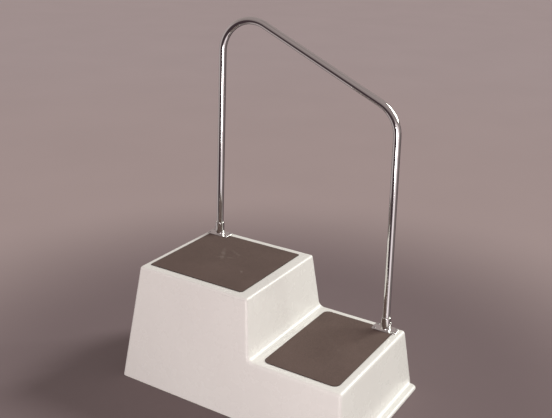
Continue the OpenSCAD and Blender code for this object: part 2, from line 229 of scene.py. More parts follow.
def shell_rows(o, fine):
    """Rows of the side view from the rear rim over both treads to the front rim.
    Each is [y, z, ny, nz, side radius, reach of the flange, y and z inside the flange, inset]."""
    zu, zl = UP_H - o, LO_H - o
    p0, p1 = (back_y(RIM, o), RIM), (back_y(zu, o), zu)
    p2, p3 = (rise_y(zu, o), zu), (rise_y(zl, o), zl)
    p4, p5 = (fore_y(zl, o), zl), (fore_y(-40, o), -40)
    nb, nf = (math.cos(TR), math.sin(TR)), (-math.cos(TF), math.sin(TF))
    n = 9 if fine else 5
    c1 = corner_rows(p0, p1, p2, UP_R - o, 1, n)
    c2 = corner_rows(p1, p2, p3, UP_R - o, 1, n)
    c3 = corner_rows(p2, p3, p4, HOLLOW_R + o, -1, n + 3)
    c4 = corner_rows(p3, p4, p5, LO_R - o, 1, n)
    cz = FL_H - o + FL_HOLLOW + o
    hr = FL_HOLLOW + o
    top = (fore_y(cz - hr * math.sin(TF), o), cz - hr * math.sin(TF), nf[0], nf[1])
    rows = [(p0[0], p0[1], nb[0], nb[1])]
    marks = {}
    dense = (7, 30, 12, 20, 10) if fine else (2, 6, 3, 5, 3)
    marks["rear"] = (0, len(rows))
    rows += between(rows[-1], c1[0], dense[0]) + c1
    marks["up0"] = len(rows)
    rows += between(c1[-1], c2[0], dense[1]) + c2
    marks["up1"] = len(rows)
    rows += between(c2[-1], c3[0], dense[2]) + c3
    rows += between(c3[-1], c4[0], dense[3]) + c4
    marks["lo1"] = len(rows)
    rows += between(c4[-1], top, dense[4]) + [top]
    out = []
    for y, z, ny, nz in rows:
        out.append([y, z, ny, nz, 0.0, 0.0, y, z, 99.0])
    # the flange's own rows: hollow, top, rounded edge, lip
    er = FL_EDGE - o
    tip = -FRONT - FL_REACH + o
    cy = fore_y(cz, o) - hr / math.cos(TF)
    m = 9 if fine else 5
    sect = arc((cy, cz), hr, -math.degrees(TF), -90, m)[1:]
    sect += [(cy + (tip + er - cy) * k, FL_H - o) for k in (0.5,)]
    sect += arc((tip + er, FL_H - o - er), er, 90, 180, m)
    sect += [(tip, RIM)]
    zt = out[-1][1]
    for i, (y, z) in enumerate(sect):
        zw = zt + (RIM - zt) * (i + 1) / len(sect)
        out.append([fore_y(zw, o), zw, nf[0], nf[1], 0.0, fore_y(z, o) - y, y, z, y - tip + o])
    # radius of the rounded side edge along the rows
    for i, row in enumerate(out):
        z = row[1]
        if i < marks["up0"]:
            k = min(max(z / UP_H, 0), 1)
            r = CORNER_R + (UP_R - CORNER_R) * k
        elif i < marks["up1"]:
            r = UP_R
        elif z > LO_H - o + 1e-6 and i < marks["lo1"]:
            k = min(max((UP_H - z) / (UP_H - LO_H), 0), 1)
            r = UP_R + (LO_R - UP_R) * min(k * 1.15, 1)
        elif i < marks["lo1"]:
            r = LO_R
        else:
            k = min(max((LO_H - z) / LO_H, 0), 1)
            r = LO_R + (CORNER_R - LO_R) * k
        row[4] = r - o
    return out


RING_N = 9
S_N = 12
MID = [0.0, 0.14, 0.28, 0.42, 0.56, 0.70, 0.85]


def s_curve(q, run, alpha, k):
    """Plan of the flange's end: from (0, q) it turns to the wall and runs out along it at (run, 0).
    k is the fraction of the way; returns (x, reach)."""
    if q < 1e-6:
        return run * k, 0.0
    phi = min(2 * math.atan(q / run), math.pi / 2)
    both = run / math.sin(phi)
    r1, r2 = both * alpha, both * (1 - alpha)
    flat = max(q - run, 0.0)
    total = both * phi + flat
    s = total * k
    if s <= r1 * phi:
        a = s / r1
        return r1 * math.sin(a), q - r1 * (1 - math.cos(a))
    x1, y1 = r1 * math.sin(phi), q - r1 * (1 - math.cos(phi))
    if s <= r1 * phi + flat:
        return x1, y1 - (s - r1 * phi)
    a = phi - (s - r1 * phi - flat) / r2
    y1 -= flat
    return x1 + r2 * (math.sin(phi) - math.sin(a)), y1 - r2 * (math.cos(a) - math.cos(phi))


def wobble(row_i, y, z, s, o):
    """Small hand-laid unevenness of the rounded side edges, in mm of radius."""
    if o:
        return 0.0
    v = noise.noise(Vector((y / 70.0, z / 70.0, 3.7 * s)))
    w = noise.noise(Vector((y / 23.0, z / 23.0, 9.1 * s + 5)))
    return 1.3 * v + 0.45 * w


def shell_grid(o, fine):
    """Grid of points: rows by columns, from the +X side wall over the middle to the -X one."""
    rows = shell_rows(o, fine)
    xtop = None
    first_flange = next(i for i, r in enumerate(rows) if r[8] < 99)
    base = rows[first_flange - 1]
    c_z = base[1] - base[4] * base[3]
    xtop = side_x(c_z, o) - base[4] / math.cos(TS)
    f0 = FL_START / xtop
    stations = [j / S_N for j in range(1, S_N + 1)]
    run0 = 20.0
    fr_s = [(FL_START + run0 * s) / xtop for s in stations]
    half = [m * f0 for m in MID] + [f0] + fr_s
    fracs = [-f for f in reversed(half[1:])] + half            # -1 side to +1 side
    fracs = list(reversed(fracs))                               # +X first
    cols = RING_N + len(fracs) + RING_N
    P = np.zeros((len(rows), cols, 3))
    last = len(rows) - 1
    for i, (y, z, ny, nz, r, q, fy, fz, inset) in enumerate(rows):
        for s, sign in ((1, 1), (-1, -1)):
            rr = r
            if 0 < i < first_flange - 3:
                rr = max(r + wobble(i, y, z, s, o) * min(i / 4, 1), 2.5)
            cyy, czz = y - rr * ny, z - rr * nz
            xc = side_x(czz, o) - rr / math.cos(TS)
            n0 = np.array([0, ny, nz])
            n1 = np.array([math.cos(TS), 0, math.sin(TS)])
            w = math.acos(float(n0 @ n1))
            for k in range(1, RING_N + 1):
                t = k / RING_N
                d = (math.sin((1 - t) * w) * n0 + math.sin(t * w) * n1) / math.sin(w)
                pt = np.array([s * (xc + rr * d[0]), cyy + rr * d[1], czz + rr * d[2]])
                if i in (0, last):
                    pt[2] = RIM
                col = RING_N - k if s > 0 else cols - 1 - (RING_N - k)
                P[i, col] = pt
            if s > 0:
                xp = xc
            else:
                xn = xc
        for j, f in enumerate(fracs):
            xcc = xp if f >= 0 else xn
            if q <= 0:
                P[i, RING_N + j] = (f * xcc, y, z)
                continue
            a, sg = abs(f), (1 if f >= 0 else -1)
            if a <= f0 + 1e-9:
                P[i, RING_N + j] = (sg * a / f0 * FL_START, fy, fz)
                continue
            k = stations[min(range(S_N), key=lambda m: abs(fr_s[m] - a))]
            e = FL_EDGE
            if inset <= e:
                alpha, run = (18 - inset) / FL_RUN, FL_RUN
            else:
                u = min((inset - e) / (FL_REACH - e), 1)
                alpha, run = (18 - e) / FL_RUN - 0.05 * u, FL_RUN + (run0 - FL_RUN) * u
            dx, qq = s_curve(q, run, alpha, k)
            wgt = qq / q
            zz = fz * wgt + z * (1 - wgt)
            P[i, RING_N + j] = (sg * (FL_START + dx), fore_y(zz, o) - qq, zz)
    P[0, :, 2] = RIM
    P[last, :, 2] = RIM
    return P


def grid_faces(n_rows, n_cols, base, flip):
    out = []
    for i in range(n_rows - 1):
        for j in range(n_cols - 1):
            a = base + i * n_cols + j
            q = (a, a + 1, a + n_cols + 1, a + n_cols)
            out.append(q[::-1] if flip else q)
    return out


def build_shell():
    A = shell_grid(0.0, True)
    B = shell_grid(WALL, False)
    ra, ca, _ = A.shape
    rb, cb, _ = B.shape
    verts = [tuple(p) for p in A.reshape(-1, 3)]
    off = len(verts)
    verts += [tuple(p) for p in B.reshape(-1, 3)]
    faces = grid_faces(ra, ca, 0, False) + grid_faces(rb, cb, off, True)
    # side walls
    faces.append(tuple(i * ca for i in range(ra)))
    faces.append(tuple(i * ca + ca - 1 for i in reversed(range(ra))))
    faces.append(tuple(off + i * cb for i in reversed(range(rb))))
    faces.append(tuple(off + i * cb + cb - 1 for i in range(rb)))
    # rounded rim between the outer and the inner surface, all the way round
    loop_a = [j for j in range(ca)] + [(ra - 1) * ca + j for j in reversed(range(ca))]
    loop_b = [off + j for j in range(cb)] + [off + (rb - 1) * cb + j for j in reversed(range(cb))]
    rings = [loop_a]
    steps = [(RIM, math.radians(a)) for a in (30, 60, 90)]
    for r, a in steps:
        ring = []
        for va, vb in zip(loop_a, loop_b):
            pa, pb = np.array(verts[va]), np.array(verts[vb])
            d = pb - pa
            d[2] = 0
            d /= np.linalg.norm(d)
            p = pa + d * r * (1 - math.cos(a))
            p[2] = RIM - r * math.sin(a)
            ring.append(len(verts))
            verts.append(tuple(p))
        rings.append(ring)
    for r, a in [(0.8, math.radians(a)) for a in (90, 45)]:
        ring = []
        for va, vb in zip(loop_a, loop_b):
            pa, pb = np.array(verts[va]), np.array(verts[vb])
            d = pb - pa
            d[2] = 0
            d /= np.linalg.norm(d)
            p = pb - d * r * (1 - math.cos(a))
            p[2] = RIM - RIM * math.sin(a)
            ring.append(len(verts))
            verts.append(tuple(p))
        rings.append(ring)
    rings.append(loop_b)
    m = len(loop_a)
    for g, h in zip(rings[:-1], rings[1:]):
        for j in range(m):
            j2 = (j + 1) % m
            faces.append((g[j2], g[j], h[j], h[j2]))
    ob = mesh_object("step_shell_moulding", verts, faces)
    bm = bmesh.new()
    bm.from_mesh(ob.data)
    bmesh.ops.recalc_face_normals(bm, faces=bm.faces)
    bm.to_mesh(ob.data)
    bm.free()
    tools = []
    for (x, y, h) in ((UP_X, UP_Y, UP_H), (LO_X, LO_Y, LO_H)):
        for dx, dy in SPOTS:
            tools.append(rod("hole", (x + dx, y + dy, h - 12), (x + dx, y + dy, h + 6),
                             [(0, 3.2), (18, 3.2)], 24))
    cut(ob, tools)
    ob.data.polygons.foreach_set("use_smooth", [True] * len(ob.data.polygons))
    return ob


# ---------------------------------------------------------------- posts and bases
UP_X, UP_Y, LO_X, LO_Y = 179.5, 346.0, 204.5, -326.5
PLATE_W, PLATE_L, PLATE_T, PLATE_R = 48.0, 88.0, 4.0, 9.0
HOLE_DX, HOLE_DY = 14.5, 34.0
SPOTS = [(sx * HOLE_DX, sy * HOLE_DY) for sx in (-1, 1) for sy in (-1, 1)]
SOCKET_R, SOCKET_H, BORE_R, FLARE_R = 16.0, 48.0, 13.6, 5.0
SET_Z, BOSS_R, BOSS_REACH = 25.0, 6.5, 19.5


def rounded_outline(x0, y0, x1, y1, r, n=10):
    """Closed outline, counter-clockwise from the near-front corner, a radius for each corner."""
    pts = []
    for (cx, cy, a, rr) in ((x0 + r[0], y0 + r[0], 180, r[0]), (x1 - r[1], y0 + r[1], 270, r[1]),
                            (x1 - r[2], y1 - r[2], 0, r[2]), (x0 + r[3], y1 - r[3], 90, r[3])):
        pts += arc((cx, cy), rr, a, a + 90, n)
    return pts


def inset_outline(pts, d):
    """The outline moved inwards by d, by its own corner normals."""
    n = len(pts)
    out = []
    for i in range(n):
        a, b, c = (np.array(pts[(i + k) % n]) for k in (-1, 0, 1))
        e1, e2 = b - a, c - b
        n1 = np.array([-e1[1], e1[0]]) / max(np.linalg.norm(e1), 1e-9)
        n2 = np.array([-e2[1], e2[0]]) / max(np.linalg.norm(e2), 1e-9)
        m = n1 + n2
        m /= max(float(m @ n1), 0.3) if np.linalg.norm(m) > 1e-9 else 1
        out.append(tuple(b + m * d))
    return out


def slab(name, outline, rings, close_bottom=True):
    """A closed slab from an outline; rings is a list of (z, inset) from the bottom up."""
    verts, faces = [], []
    n = len(outline)
    for z, d in rings:
        verts += [(x, y, z) for x, y in (inset_outline(outline, d) if d else outline)]
    for i in range(len(rings) - 1):
        for k in range(n):
            k2 = (k + 1) % n
            faces.append((i * n + k, i * n + k2, (i + 1) * n + k2, (i + 1) * n + k))
    faces.append(tuple(range(n - 1, -1, -1)))
    faces.append(tuple((len(rings) - 1) * n + k for k in range(n)))
    return mesh_object(name, verts, faces)


def build_base():
    """The cast base fitting round its own post axis, its set screw facing -Y."""
    plate = slab("plate", rounded_outline(-24, -44, 24, 44, [PLATE_R] * 4),
                 [(0, 0.25), (0.25, 0), (2.4, 0), (3.3, 0.3), (3.8, 0.9), (4.0, 1.8)])
    prof = [(0.3, SOCKET_R + FLARE_R + 2), (PLATE_T - 0.2, SOCKET_R + FLARE_R + 1.6)]
    prof += [(z, r) for r, z in arc((SOCKET_R + FLARE_R + 0.6, PLATE_T + FLARE_R), FLARE_R + 0.3, 270, 180, 10)]
    prof += [(z, r) for r, z in arc((SOCKET_R - 1.2, SOCKET_H - 1.2), 1.2, 0, 90, 5)]
    socket = rod("socket", (0, 0, 0), (0, 0, 1), prof, 96)
    boss = rod("boss", (0, 0, SET_Z), (0, -1, SET_Z),
               [(4, BOSS_R), (BOSS_REACH - 1.2, BOSS_R), (BOSS_REACH - 0.5, BOSS_R - 0.35),
                (BOSS_REACH, BOSS_R - 1.1)], 48)
    ob = join([plate, socket, boss], "base_form")
    m = ob.modifiers.new("remesh", "REMESH")
    m.mode = "VOXEL"
    m.voxel_size = 0.55 * MM
    m = ob.modifiers.new("soften", "SMOOTH")
    m.factor = 0.5
    m.iterations = 9
    bake_modifiers(ob)
    low = min(v.co.z for v in ob.data.vertices)
    for v in ob.data.vertices:
        v.co.z -= low
    tools = [rod("bore", (0, 0, PLATE_T), (0, 0, 60), [(0, BORE_R), (SOCKET_H - PLATE_T - 0.9, BORE_R),
                                                       (SOCKET_H - PLATE_T + 0.3, BORE_R + 0.9), (50, BORE_R + 0.9)], 96),
             rod("screw_way", (0, -10, SET_Z), (0, -30, SET_Z),
                 [(0, 3.0), (BOSS_REACH - 10.6, 3.0), (BOSS_REACH - 9.8, 3.6), (20, 3.6)], 40)]
    for dx, dy in SPOTS:
        tools.append(rod("sink", (dx, dy, -2), (dx, dy, 10),
                         [(0, 3.2), (2 + PLATE_T - 2.1, 3.2), (2 + PLATE_T, 5.3), (12, 5.3)], 40))
    no_slivers(cut(ob, tools))
    ob.data.polygons.foreach_set("use_smooth", [True] * len(ob.data.polygons))
    return ob


# ---------------------------------------------------------------- handrail
TUBE_R, TUBE_WALL, BEND_R = 12.7, 1.65, 114.3
TURN_A, TURN_B, RAIL_LOW_Z = 114.3347, 63.5973, 949.2


def rail_path(step):
    """Centreline of the tube from the lower foot to the upper one: points and directions."""
    run = math.hypot(LO_X - UP_X, LO_Y - UP_Y)
    grip = (SOCKET_H + PLATE_T) / 2
    lean = math.radians(90 - (TURN_A + TURN_B) / 2)
    slope = math.radians((TURN_A - TURN_B) / 2)
    lt = math.tan(lean)
    low_s = run - lt * (RAIL_LOW_Z - LO_H - grip)
    top_z = (RAIL_LOW_Z + math.tan(slope) * (low_s + lt * (UP_H + grip))) / (1 + math.tan(slope) * lt)
    top_s = lt * (top_z - UP_H - grip)
    ta, tb = (BEND_R * math.tan(math.radians(t) / 2) for t in (TURN_A, TURN_B))
    slope_l = (low_s - top_s) / math.cos(slope) - ta - tb
    post_b = (RAIL_LOW_Z - LO_H) / math.cos(lean) - tb
    post_a = (top_z - UP_H) / math.cos(lean) - ta
    p = np.array([low_s + lt * (RAIL_LOW_Z - LO_H), LO_H])
    h = math.pi / 2 + lean
    pts, dirs, dist = [], [], []
    length = 0.0

    def put():
        pts.append(p.copy())
        dirs.append(h)
        dist.append(length)

    put()
    for kind, size in (("l", post_b), ("a", TURN_B), ("l", slope_l), ("a", TURN_A), ("l", post_a)):
        n = max(2, int(size / 45)) if kind == "l" else max(8, int(math.radians(size) * BEND_R / step))
        for _ in range(n):
            if kind == "l":
                p = p + np.array([math.cos(h), math.sin(h)]) * size / n
                length += size / n
            else:
                d = math.radians(size) / n
                c = p + BEND_R * np.array([-math.sin(h), math.cos(h)])
                h += d
                p = c - BEND_R * np.array([-math.sin(h), math.cos(h)])
                length += BEND_R * d
            put()
    ux, uy = (LO_X - UP_X) / run, (LO_Y - UP_Y) / run
    out = []
    for q, a, l in zip(pts, dirs, dist):
        pos = np.array([UP_X + q[0] * ux, UP_Y + q[0] * uy, q[1]])
        tan = np.array([math.cos(a) * ux, math.cos(a) * uy, math.sin(a)])
        side = np.array([uy, -ux, 0.0])
        out.append((pos, tan, side, np.cross(tan, side), l))
    return out


def build_handrail():
    n = 72
    verts, faces, uv_v = [], [], []
    rings = []
    for r, path in ((TUBE_R, rail_path(2.4)), (TUBE_R - TUBE_WALL, rail_path(9.0))):
        rr = []
        for idx, (pos, tan, side, up, l) in enumerate(path):
            ids = []
            for k in range(n):
                a = 2 * math.pi * k / n
                v = pos + (side * math.cos(a) + up * math.sin(a)) * r
                if idx in (0, len(path) - 1):       # feet are cut level with the plates
                    level = (LO_H if idx == 0 else UP_H) + PLATE_T
                    v = v + tan * (level - v[2]) / tan[2]
                ids.append(len(verts))
                verts.append(v)
                uv_v.append(l)
            rr.append(ids)
        rings.append(rr)
    for w, rr in enumerate(rings):
        for g, h in zip(rr[:-1], rr[1:]):
            for k in range(n):
                k2 = (k + 1) % n
                q = (g[k], g[k2], h[k2], h[k])
                faces.append(q if w == 0 else q[::-1])
    for e in (0, -1):
        for k in range(n):
            k2 = (k + 1) % n
            q = (rings[0][e][k], rings[1][e][k], rings[1][e][k2], rings[0][e][k2])
            faces.append(q if e == 0 else q[::-1])
    ob = mesh_object("handrail_tube", verts, faces)
    bm = bmesh.new()
    bm.from_mesh(ob.data)
    bmesh.ops.recalc_face_normals(bm, faces=bm.faces)
    uv = bm.loops.layers.uv.new("along")
    bm.verts.ensure_lookup_table()
    for f in bm.faces:
        ks = [l.vert.index % n for l in f.loops]
        wrap = max(ks) - min(ks) > n / 2
        for l, k in zip(f.loops, ks):
            u = (k + n if wrap and k < n / 2 else k) / n
            l[uv].uv = (u * 2 * math.pi * TUBE_R * MM, uv_v[l.vert.index] * MM)
    bm.to_mesh(ob.data)
    bm.free()
    return ob


# ---------------------------------------------------------------- pads
PAD_T, PAD_GAP = 2.5, 0.8


def notched(outline, plate, corner):
    """The pad's outline with the base plate's corner cut out of it."""
    px0, py0, px1, py1 = plate
    keep = []
    inside = lambda x, y: px0 < x < px1 + 999 and (
        (py0 < y < py1 + 999) if corner == "rear" else (py0 - 999 < y < py1))
    n = len(outline)
    start = next(i for i in range(n) if inside(*outline[i]) and not inside(*outline[i - 1]))
    run = [outline[(start + i) % n] for i in range(n)]
    keep = [p for p in run if not inside(*p)]
    r = PLATE_R + PAD_GAP
    if corner == "rear":     # the outline meets the notch on its +X side, then leaves it at the rear
        x_edge = max(p[0] for p in outline)
        y_edge = max(p[1] for p in outline)
        way = [(x_edge, py0)]
        way += [q for q in reversed(arc((px0 + r, py0 + r), r, 180, 270, 10))]
        way += [(px0, y_edge)]
    else:                    # it meets the notch at the front, then leaves it on the +X side
        x_edge = max(p[0] for p in outline)
        y_edge = min(p[1] for p in outline)
        way = [(px0, y_edge)]
        way += [q for q in reversed(arc((px0 + r, py1 - r), r, 90, 180, 10))]
        way += [(x_edge, py1)]
    return way + keep


def build_pad(name, outline, h, seed):
    """A thin sheet with rounded edges; its top is a fine net with the slight unevenness of a glued sheet."""
    rings = [(h, 0.5), (h + 0.25, 0.15), (h + 0.7, 0), (h + PAD_T - 0.8, 0),
             (h + PAD_T - 0.3, 0.2), (h + PAD_T, 0.8)]
    ob = slab(name, outline, rings)
    bm = bmesh.new()
    bm.from_mesh(ob.data)
    bmesh.ops.recalc_face_normals(bm, faces=bm.faces)
    step = 8 * MM
    lo = [min(v.co[a] for v in bm.verts) for a in (0, 1)]
    hi = [max(v.co[a] for v in bm.verts) for a in (0, 1)]
    for a in (0, 1):
        c = lo[a] + step
        while c < hi[a] - step * 0.5:
            co, no = [0, 0, 0], [0, 0, 0]
            co[a], no[a] = c, 1
            bmesh.ops.bisect_plane(bm, geom=bm.verts[:] + bm.edges[:] + bm.faces[:],
                                   plane_co=co, plane_no=no, dist=1e-6)
            c += step
    top = (h + PAD_T) * MM
    for v in bm.verts:
        if v.co.z > top - 1e-6:
            x, y = v.co.x, v.co.y
            edge = min(x - lo[0], hi[0] - x, y - lo[1], hi[1] - y)
            k = min(max(edge / 0.012, 0), 1)
            v.co.z = top - 0.00025 * k * (0.5 + 0.5 * noise.noise(Vector((x * 18, y * 18, seed))))
    bm.to_mesh(ob.data)
    bm.free()
    ob.data.polygons.foreach_set("use_smooth", [True] * len(ob.data.polygons))
    return ob


# ---------------------------------------------------------------- materials
def material(name):
    mat = bpy.data.materials.new(name)
    mat.use_nodes = True
    nt = mat.node_tree
    nt.nodes.clear()
    out = nt.nodes.new("ShaderNodeOutputMaterial")
    bsdf = nt.nodes.new("ShaderNodeBsdfPrincipled")
    nt.links.new(bsdf.outputs[0], out.inputs[0])
    return mat, nt, bsdf


def ramp(nt, source, stops):
    n = nt.nodes.new("ShaderNodeValToRGB")
    el = n.color_ramp.elements
    while len(el) < len(stops):
        el.new(0.5)
    for e, (p, c) in zip(el, stops):
        e.position = p
        e.color = c if len(c) == 4 else (*c, 1.0)
    nt.links.new(source, n.inputs[0])
    return n.outputs[0]


def grey(v):
    return (v, v, v, 1.0)


def noise_tex(nt, coord, scale, detail=3.0, rough=0.5, dist=0.0):
    n = nt.nodes.new("ShaderNodeTexNoise")
    n.inputs["Scale"].default_value = scale
    n.inputs["Detail"].default_value = detail
    n.inputs["Roughness"].default_value = rough
    n.inputs["Distortion"].default_value = dist
    nt.links.new(coord, n.inputs["Vector"])
    return n.outputs["Fac"]


def mapped(nt, coord, scale=(1, 1, 1), loc=(0, 0, 0), rot=(0, 0, 0)):
    m = nt.nodes.new("ShaderNodeMapping")
    m.inputs["Scale"].default_value = scale
    m.inputs["Location"].default_value = loc
    m.inputs["Rotation"].default_value = rot
    nt.links.new(coord, m.inputs["Vector"])
    return m.outputs[0]


def maths(nt, op, a, b=None, clamp=False):
    m = nt.nodes.new("ShaderNodeMath")
    m.operation = op
    m.use_clamp = clamp
    for i, v in enumerate((a, b)):
        if v is None:
            continue
        if isinstance(v, (int, float)):
            m.inputs[i].default_value = v
        else:
            nt.links.new(v, m.inputs[i])
    return m.outputs[0]


def mix_colour(nt, fac, a, b, mode="MIX"):
    m = nt.nodes.new("ShaderNodeMix")
    m.data_type = "RGBA"
    m.blend_type = mode
    for sock, v in ((m.inputs[0], fac), (m.inputs[6], a), (m.inputs[7], b)):
        if isinstance(v, (int, float)):
            sock.default_value = v
        elif isinstance(v, tuple):
            sock.default_value = v if len(v) == 4 else (*v, 1.0)
        else:
            nt.links.new(v, sock)
    return m.outputs[2]


def bump(nt, bsdf, height, strength, distance, normal=None):
    b = nt.nodes.new("ShaderNodeBump")
    b.inputs["Strength"].default_value = strength
    b.inputs["Distance"].default_value = distance
    nt.links.new(height, b.inputs["Height"])
    if normal is not None:
        nt.links.new(normal, b.inputs["Normal"])
    nt.links.new(b.outputs[0], bsdf.inputs["Normal"])
    return b.outputs[0]


def object_coords(nt):
    return nt.nodes.new("ShaderNodeTexCoord").outputs["Object"]


def gelcoat():
    mat, nt, b = material("gelcoat")
    co = object_coords(nt)
    broad = noise_tex(nt, co, 3.2, 3, 0.55)
    fine = noise_tex(nt, co, 38, 3, 0.6)
    base = ramp(nt, broad, [(0.3, (0.800, 0.766, 0.742)), (0.7, (0.828, 0.798, 0.772))])
    speck = ramp(nt, fine, [(0.36, grey(0.988)), (0.62, grey(1.0))])
    col = mix_colour(nt, 1.0, base, speck, "MULTIPLY")
    nt.links.new(col, b.inputs["Base Color"])
    rough = ramp(nt, noise_tex(nt, co, 14, 4, 0.6), [(0.3, grey(0.22)), (0.7, grey(0.32))])
    nt.links.new(rough, b.inputs["Roughness"])
    b.inputs["IOR"].default_value = 1.5
    wave = noise_tex(nt, co, 9, 2, 0.5)
    peel = noise_tex(nt, co, 420, 2, 0.5)
    n1 = bump(nt, b, wave, 0.30, 0.0018)
    bump(nt, b, peel, 0.08, 0.00006, n1)
    return mat


def pad_grit(name, seed, scuff_at):
    """Matt non-slip grit with faint lighter scuffs; scuff_at is a list of (x, y, length, angle) in metres."""
    mat, nt, b = material(name)
    co = object_coords(nt)
    broad = noise_tex(nt, mapped(nt, co, loc=(seed, 0, 0)), 5.5, 4, 0.6)
    cell = nt.nodes.new("ShaderNodeTexVoronoi")
    cell.inputs["Scale"].default_value = 900
    nt.links.new(co, cell.inputs["Vector"])
    grain = noise_tex(nt, co, 650, 2, 0.7)
    base = ramp(nt, broad, [(0.28, (0.112, 0.073, 0.063)), (0.72, (0.142, 0.094, 0.082))])
    spark = ramp(nt, grain, [(0.35, grey(0.72)), (0.55, grey(1.0)), (0.72, grey(1.35))])
    col = mix_colour(nt, 1.0, base, spark, "MULTIPLY")
    # scuffs: soft streaks broken up by noise
    total = None
    for (sx, sy, ln, ang, wd, amt) in scuff_at:
        m = mapped(nt, co, loc=(0, 0, 0))
        sub = nt.nodes.new("ShaderNodeVectorMath")
        sub.operation = "SUBTRACT"
        nt.links.new(m, sub.inputs[0])
        sub.inputs[1].default_value = (sx, sy, 0)
        rot = nt.nodes.new("ShaderNodeVectorRotate")
        rot.rotation_type = "Z_AXIS"
        rot.inputs["Angle"].default_value = -ang
        nt.links.new(sub.outputs[0], rot.inputs["Vector"])
        sep = nt.nodes.new("ShaderNodeSeparateXYZ")
        nt.links.new(rot.outputs[0], sep.inputs[0])
        fx = maths(nt, "POWER", maths(nt, "DIVIDE", sep.outputs[0], ln), 2)
        fy = maths(nt, "POWER", maths(nt, "DIVIDE", sep.outputs[1], wd), 2)
        fall = maths(nt, "SUBTRACT", 1.0, maths(nt, "ADD", fx, fy), clamp=True)
        fall = maths(nt, "MULTIPLY", fall, amt)
        total = fall if total is None else maths(nt, "ADD", total, fall, clamp=True)
    if total is not None:
        broken = ramp(nt, noise_tex(nt, mapped(nt, co, scale=(1, 1, 1)), 60, 4, 0.65), [(0.38, grey(0)), (0.62, grey(1))])
        fac = maths(nt, "MULTIPLY", total, broken)
        col = mix_colour(nt, fac, col, (0.235, 0.185, 0.165))
    # painted shade: faces that lean away from up, the pad's sides and the rounding of its top edge, are painted
    # nearly black as a dark outline round the gritted face
    face = nt.nodes.new("ShaderNodeSeparateXYZ")
    nt.links.new(nt.nodes.new("ShaderNodeNewGeometry").outputs["Normal"], face.inputs[0])
    flat = ramp(nt, face.outputs[2], [(0.55, grey(0)), (0.95, grey(1))])
    col = mix_colour(nt, flat, (0.022, 0.012, 0.010), col)
    nt.links.new(col, b.inputs["Base Color"])
    b.inputs["Roughness"].default_value = 0.82
    b.inputs["Specular IOR Level"].default_value = 0.35
    n1 = bump(nt, b, grain, 0.55, 0.0005)
    bump(nt, b, cell.outputs["Distance"], 0.5, 0.0004, n1)
    return mat


def polished(name, tint, rough, along=False):
    mat, nt, b = material(name)
    co = object_coords(nt)
    b.inputs["Metallic"].default_value = 1.0
    patch = noise_tex(nt, co, 7 if along else 60, 3, 0.6)
    col = ramp(nt, patch, [(0.3, tuple(c * 0.94 for c in tint)), (0.7, tint)])
    nt.links.new(col, b.inputs["Base Color"])
    if along:
        uv = nt.nodes.new("ShaderNodeUVMap")
        uv.uv_map = "along"
        lines = noise_tex(nt, mapped(nt, uv.outputs[0], scale=(900, 9, 1)), 1.0, 2, 0.6)
        swirl = noise_tex(nt, mapped(nt, uv.outputs[0], scale=(30, 8, 1)), 1.0, 3, 0.55)
    else:
        lines = noise_tex(nt, co, 900, 2, 0.6)
        swirl = noise_tex(nt, co, 120, 3, 0.55)
    r = maths(nt, "ADD", maths(nt, "MULTIPLY", lines, 0.07), maths(nt, "MULTIPLY", swirl, 0.08))
    r = maths(nt, "ADD", r, rough - 0.075)
    nt.links.new(r, b.inputs["Roughness"])
    n1 = bump(nt, b, swirl, 0.10, 0.0004)
    bump(nt, b, lines, 0.05, 0.00005, n1)
    return mat


def plain_steel(name, tint=(0.56, 0.55, 0.54)):
    mat, nt, b = material(name)
    co = object_coords(nt)
    b.inputs["Metallic"].default_value = 1.0
    n = noise_tex(nt, co, 700, 3, 0.6)
    col = ramp(nt, n, [(0.3, tuple(c * 0.85 for c in tint)), (0.7, tint)])
    nt.links.new(col, b.inputs["Base Color"])
    rr = ramp(nt, n, [(0.3, grey(0.24)), (0.7, grey(0.38))])
    nt.links.new(rr, b.inputs["Roughness"])
    bump(nt, b, n, 0.15, 0.00008)
    return mat


# ---------------------------------------------------------------- build the pieces
def finish_piece(ob, mat, nodes):
    ob.data.materials.clear()
    ob.data.materials.append(mat)
    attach(ob, "root")
    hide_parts(*nodes)
    return ob


shell = build_shell()
weighted(shell)
finish_piece(shell, gelcoat(), ["step_shell"])

up_outline = rounded_outline(-179.2, 5.5, 179.2, 375.3, [11, 5, 6, 6])
up_plate = (UP_X - PLATE_W / 2 - PAD_GAP, UP_Y - PLATE_L / 2 - PAD_GAP,
            UP_X + PLATE_W / 2 + PAD_GAP, UP_Y + PLATE_L / 2 + PAD_GAP)
upper_pad = build_pad("upper_pad_sheet", notched(up_outline, up_plate, "rear"), UP_H, 1.3)
weighted(upper_pad)
finish_piece(upper_pad, pad_grit("upper_pad_grit", 0.0, [
    (0.030, 0.225, 0.060, 0.5, 0.010, 0.45), (0.010, 0.205, 0.045, 1.9, 0.008, 0.40),
    (0.060, 0.190, 0.040, 1.1, 0.007, 0.35), (-0.054, 0.091, 0.009, 0.4, 0.006, 0.9)]), ["upper_tread_pad"])

lo_outline = rounded_outline(-207.4, -359.8, 207.4, -94.3, [22] * 4)
lo_plate = (LO_X - PLATE_W / 2 - PAD_GAP, LO_Y - PLATE_L / 2 - PAD_GAP,
            LO_X + PLATE_W / 2 + PAD_GAP, LO_Y + PLATE_L / 2 + PAD_GAP)
lower_pad = build_pad("lower_pad_sheet", notched(lo_outline, lo_plate, "front"), LO_H, 7.9)
weighted(lower_pad)
finish_piece(lower_pad, pad_grit("lower_pad_grit", 3.0, [
    (0.02, -0.22, 0.08, 0.9, 0.012, 0.12)]), ["lower_tread_pad"])

rail = build_handrail()
finish_piece(rail, polished("rail_polish", (0.80, 0.785, 0.77), 0.10, along=True), ["handrail"])

